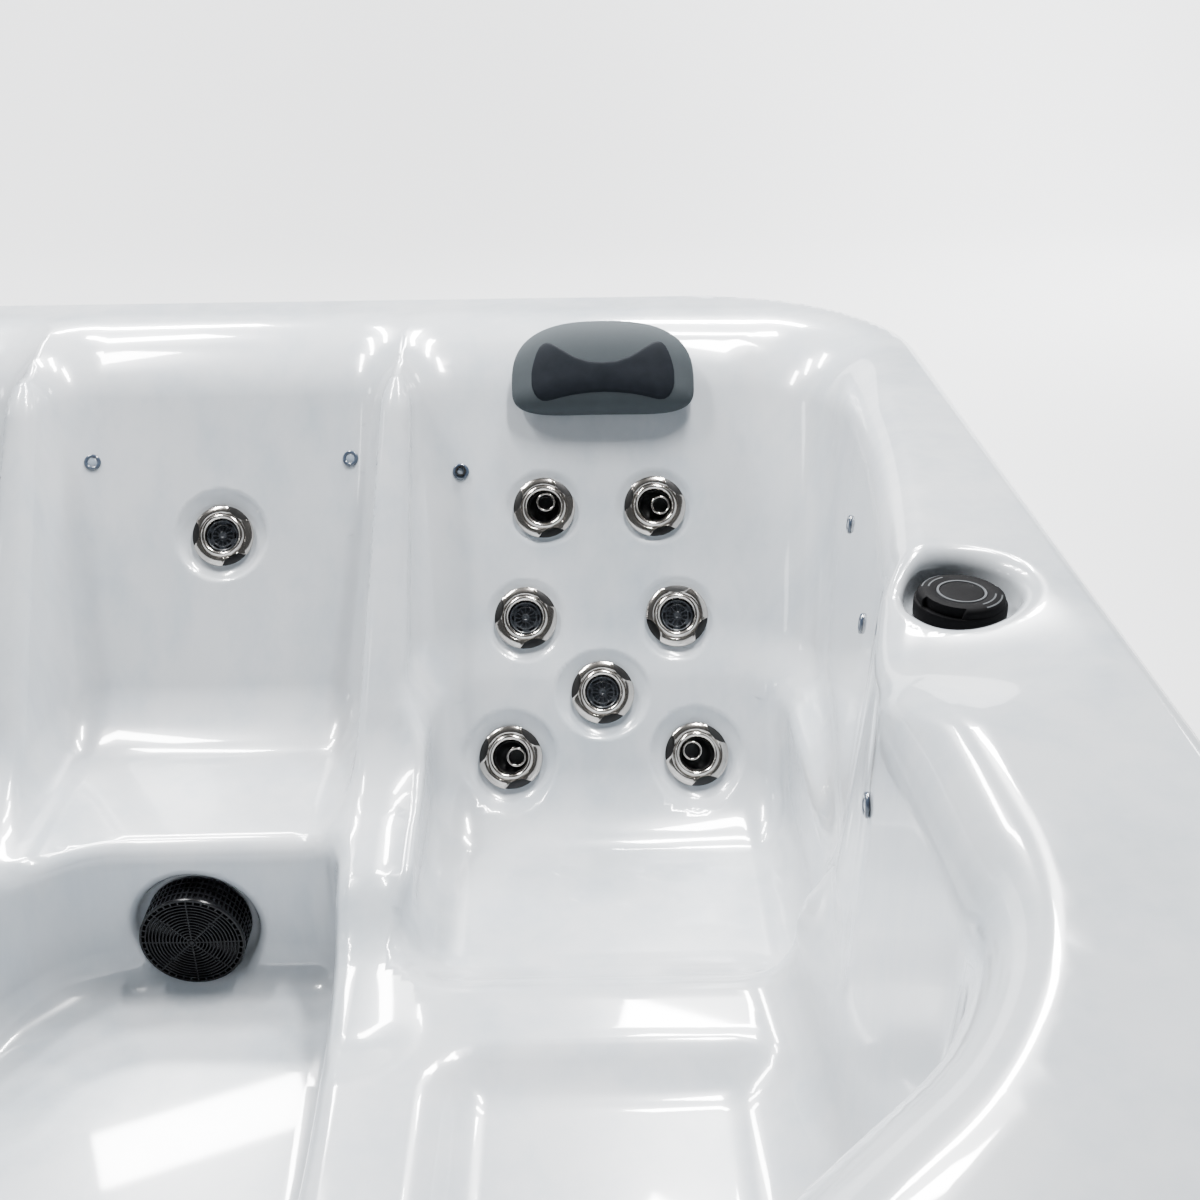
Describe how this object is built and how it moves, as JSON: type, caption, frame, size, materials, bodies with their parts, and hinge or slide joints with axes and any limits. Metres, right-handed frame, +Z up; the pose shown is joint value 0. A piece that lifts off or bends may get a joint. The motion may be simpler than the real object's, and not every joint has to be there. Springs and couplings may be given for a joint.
{
  "type": "hot tub",
  "caption": "Square acrylic hot tub with moulded seats, turning massage jets, slotted suction cover, rim knobs, headrests and a panelled cabinet over pump and pipes.",
  "frame": {"origin": "centre of the footprint, on the floor", "axes": "+Z up, +Y towards the back wall with the corner seats, +X to the right"},
  "size_m": [2, 2, 0.9113],
  "materials": {
    "acrylic": "polished marbled acrylic",
    "base_pan": "moulded",
    "black_plastic": "moulded",
    "cabinet": "fine grain",
    "control_box": "moulded",
    "corner_cover": "moulded",
    "filter_media": "pleated",
    "gasket": "matt",
    "heater": "satin",
    "hose": "flexible",
    "jet_face": "satin",
    "jet_insert": "moulded",
    "jet_ring": "polished, warm",
    "key": "satin",
    "keypad": "polished",
    "knob": "satin",
    "lens": "clear",
    "lid": "satin",
    "motor": "semi-gloss",
    "pillow": "soft foam skin",
    "pillow_insert": "soft foam skin",
    "pvc": "moulded",
    "screw": "satin",
    "suction": "polished",
    "timber": "sawn"
  },
  "bodies": {
    "tub": {"acrylic_shell": "acrylic", "base_pan": "base_pan", "cabinet_frame": "timber", "cabinet_back": "cabinet", "cabinet_left": "cabinet", "cabinet_right": "cabinet", "cabinet_front": "cabinet", "corner_covers": "corner_cover", "screws": "screw", "jet_bodies": "pvc", "jet_nuts": "pvc", "jet_gaskets": "gasket", "cluster_jet_faces": "jet_face", "light_lenses": "lens", "light_housings": "black_plastic", "suction_body": "pvc", "suction_cover": "suction", "rim_valve_bodies": "pvc", "filter_housing": "pvc", "pump_body": "black_plastic", "pump_motor": "motor", "heater_tube": "heater", "control_box": "control_box", "water_pipes": "pvc", "air_manifold": "pvc", "water_hoses": "hose", "air_hoses": "hose", "drain_valve": "pvc", "keypad_panel": "keypad", "cable_gland": "black_plastic"},
    "jet_1_face": {"jet_1_bezel": "jet_ring"},
    "jet_1_nozzle": {"jet_1_rotor": "jet_insert"},
    "jet_2_face": {"jet_2_bezel": "jet_ring"},
    "jet_2_nozzle": {"jet_2_rotor": "jet_insert"},
    "jet_3_face": {"jet_3_bezel": "jet_ring"},
    "jet_3_nozzle": {"jet_3_rotor": "jet_insert"},
    "jet_4_face": {"jet_4_bezel": "jet_ring"},
    "jet_4_nozzle": {"jet_4_rotor": "jet_insert"},
    "jet_5_face": {"jet_5_bezel": "jet_ring"},
    "jet_5_nozzle": {"jet_5_rotor": "jet_insert"},
    "jet_6_face": {"jet_6_bezel": "jet_ring"},
    "jet_6_nozzle": {"jet_6_rotor": "jet_insert"},
    "jet_7_face": {"jet_7_bezel": "jet_ring"},
    "jet_7_nozzle": {"jet_7_rotor": "jet_insert"},
    "jet_8_face": {"jet_8_bezel": "jet_ring"},
    "jet_8_nozzle": {"jet_8_rotor": "jet_insert"},
    "diverter": {"diverter_knob": "knob"},
    "air_control": {"air_knob": "knob"},
    "filter": {"filter_lid": "lid", "filter_cartridge": "filter_media"},
    "impeller": {"pump_impeller": "pvc"},
    "drain_closure": {"drain_cap": "black_plastic"},
    "key_1": {"keypad_button_1": "key"},
    "key_2": {"keypad_button_2": "key"},
    "key_3": {"keypad_button_3": "key"},
    "headrest_right": {"pillow_right": "pillow", "pillow_right_insert": "pillow_insert"},
    "headrest_left": {"pillow_left": "pillow", "pillow_left_insert": "pillow_insert"},
    "service_door": {"access_panel": "cabinet"}
  },
  "joints": [
    {"name": "jet_1_turn", "type": "hinge", "parent": "tub", "child": "jet_1_face", "pos_m": [0.47, 0.66347, 0.6747], "axis": [0, -0.8054, 0.5927], "range_deg": [0, 90]},
    {"name": "jet_1_spin", "type": "hinge", "parent": "jet_1_face", "child": "jet_1_nozzle", "pos_m": [0.47, 0.66347, 0.6747], "axis": [0, -0.8054, 0.5927], "continuous": true},
    {"name": "jet_2_turn", "type": "hinge", "parent": "tub", "child": "jet_2_face", "pos_m": [0.63, 0.66347, 0.6747], "axis": [0, -0.8054, 0.5927], "range_deg": [0, 90]},
    {"name": "jet_2_spin", "type": "hinge", "parent": "jet_2_face", "child": "jet_2_nozzle", "pos_m": [0.63, 0.66347, 0.6747], "axis": [0, -0.8054, 0.5927], "continuous": true},
    {"name": "jet_3_turn", "type": "hinge", "parent": "tub", "child": "jet_3_face", "pos_m": [0.442, 0.56822, 0.54526], "axis": [0, -0.8054, 0.5927], "range_deg": [0, 90]},
    {"name": "jet_3_spin", "type": "hinge", "parent": "jet_3_face", "child": "jet_3_nozzle", "pos_m": [0.442, 0.56822, 0.54526], "axis": [0, -0.8054, 0.5927], "continuous": true},
    {"name": "jet_4_turn", "type": "hinge", "parent": "tub", "child": "jet_4_face", "pos_m": [0.658, 0.56822, 0.54526], "axis": [0, -0.8054, 0.5927], "range_deg": [0, 90]},
    {"name": "jet_4_spin", "type": "hinge", "parent": "jet_4_face", "child": "jet_4_nozzle", "pos_m": [0.658, 0.56822, 0.54526], "axis": [0, -0.8054, 0.5927], "continuous": true},
    {"name": "jet_5_turn", "type": "hinge", "parent": "tub", "child": "jet_5_face", "pos_m": [0.55, 0.50403, 0.45804], "axis": [0, -0.8054, 0.5927], "range_deg": [0, 90]},
    {"name": "jet_5_spin", "type": "hinge", "parent": "jet_5_face", "child": "jet_5_nozzle", "pos_m": [0.55, 0.50403, 0.45804], "axis": [0, -0.8054, 0.5927], "continuous": true},
    {"name": "jet_6_turn", "type": "hinge", "parent": "tub", "child": "jet_6_face", "pos_m": [0.4195, 0.4511, 0.38612], "axis": [0, -0.8054, 0.5927], "range_deg": [0, 90]},
    {"name": "jet_6_spin", "type": "hinge", "parent": "jet_6_face", "child": "jet_6_nozzle", "pos_m": [0.4195, 0.4511, 0.38612], "axis": [0, -0.8054, 0.5927], "continuous": true},
    {"name": "jet_7_turn", "type": "hinge", "parent": "tub", "child": "jet_7_face", "pos_m": [0.6805, 0.4511, 0.38612], "axis": [0, -0.8054, 0.5927], "range_deg": [0, 90]},
    {"name": "jet_7_spin", "type": "hinge", "parent": "jet_7_face", "child": "jet_7_nozzle", "pos_m": [0.6805, 0.4511, 0.38612], "axis": [0, -0.8054, 0.5927], "continuous": true},
    {"name": "jet_8_turn", "type": "hinge", "parent": "tub", "child": "jet_8_face", "pos_m": [0, 0.66982, 0.63615], "axis": [0, -0.8499, 0.527], "range_deg": [0, 90]},
    {"name": "jet_8_spin", "type": "hinge", "parent": "jet_8_face", "child": "jet_8_nozzle", "pos_m": [0, 0.66982, 0.63615], "axis": [0, -0.8499, 0.527], "continuous": true},
    {"name": "diverter_turn", "type": "hinge", "parent": "tub", "child": "diverter", "pos_m": [0.882, -0.038, 0.88], "axis": [0, 0, 1], "range_deg": [0, 180]},
    {"name": "air_turn", "type": "hinge", "parent": "tub", "child": "air_control", "pos_m": [-0.882, -0.038, 0.88], "axis": [0, 0, 1], "range_deg": [0, 180]},
    {"name": "filter_lift", "type": "slide", "parent": "tub", "child": "filter", "axis": [0, 0, 1], "range_m": [0, 0.4]},
    {"name": "impeller_spin", "type": "hinge", "parent": "tub", "child": "impeller", "pos_m": [0.12, -0.775, 0.165], "axis": [1, 0, 0], "continuous": true},
    {"name": "drain_cap_turn", "type": "hinge", "parent": "tub", "child": "drain_closure", "pos_m": [-0.62, -0.99, 0.112], "axis": [0, -1, 0], "range_deg": [0, 360]},
    {"name": "key_1_press", "type": "slide", "parent": "tub", "child": "key_1", "axis": [0, 0, -1], "range_m": [0, 0.001], "stiffness_N_per_m": 1500, "springref_m": -0.0008},
    {"name": "key_2_press", "type": "slide", "parent": "tub", "child": "key_2", "axis": [0, 0, -1], "range_m": [0, 0.001], "stiffness_N_per_m": 1500, "springref_m": -0.0008},
    {"name": "key_3_press", "type": "slide", "parent": "tub", "child": "key_3", "axis": [0, 0, -1], "range_m": [0, 0.001], "stiffness_N_per_m": 1500, "springref_m": -0.0008},
    {"name": "headrest_right_pull", "type": "slide", "parent": "tub", "child": "headrest_right", "axis": [0, -0.8054, 0.5927], "range_m": [0, 0.04]},
    {"name": "headrest_left_pull", "type": "slide", "parent": "tub", "child": "headrest_left", "axis": [0, -0.8054, 0.5927], "range_m": [0, 0.04]},
    {"name": "access_panel_pull", "type": "slide", "parent": "tub", "child": "service_door", "axis": [0, -1, 0], "range_m": [0, 0.15]}
  ]
}
